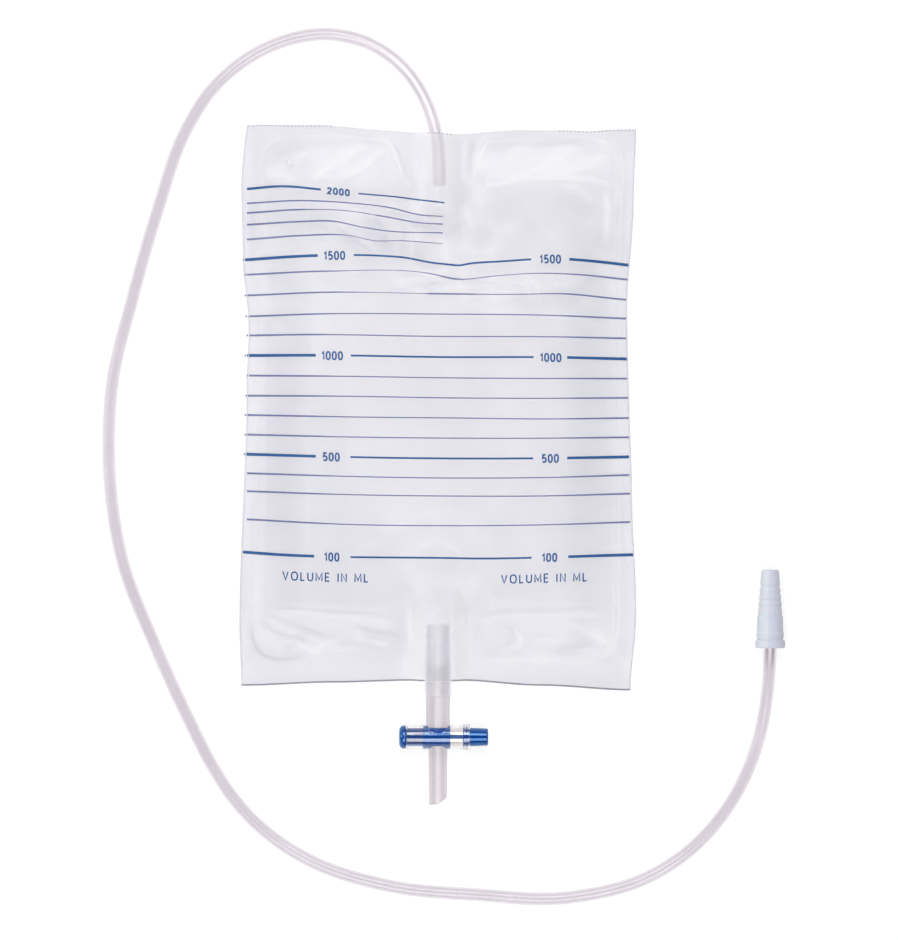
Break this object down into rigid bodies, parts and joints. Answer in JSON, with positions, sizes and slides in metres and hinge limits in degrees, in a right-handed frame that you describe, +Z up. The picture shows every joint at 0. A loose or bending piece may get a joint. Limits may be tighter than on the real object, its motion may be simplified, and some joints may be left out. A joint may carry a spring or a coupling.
{
  "type": "urine drainage bag",
  "caption": "Empty two-litre urine drainage bag lying flat: welded clear films with a volume scale, a long inlet tube with a tapered connector, and a push-pull outlet tap.",
  "frame": {"origin": "on the table, under the middle of the bag and its tap, without the free tube and its connector", "axes": "+X to the bag's right seen from the printed side, +Y to its top edge and the inlet, +Z up from the table"},
  "size_m": [0.3511, 0.4514, 0.0154],
  "materials": {
    "film": "clear soft PVC film, glossy, lightly wrinkled, with a blue printed scale on the front",
    "tube": "clear soft PVC tubing",
    "connector": "pale blue translucent moulding",
    "tap_body": "clear rigid moulding",
    "tap_plunger": "deep blue moulding"
  },
  "bodies": {
    "root": {"front_film": "film", "back_film": "film", "inlet_tube": "tube", "catheter_connector": "connector", "outlet_sleeve": "tube", "tap_body": "tap_body"},
    "plunger": {"tap_plunger": "tap_plunger"}
  },
  "joints": [
    {"name": "plunger_slide", "type": "slide", "parent": "root", "child": "plunger", "axis": [-1, 0, 0], "range_m": [0, 0.0096]}
  ]
}
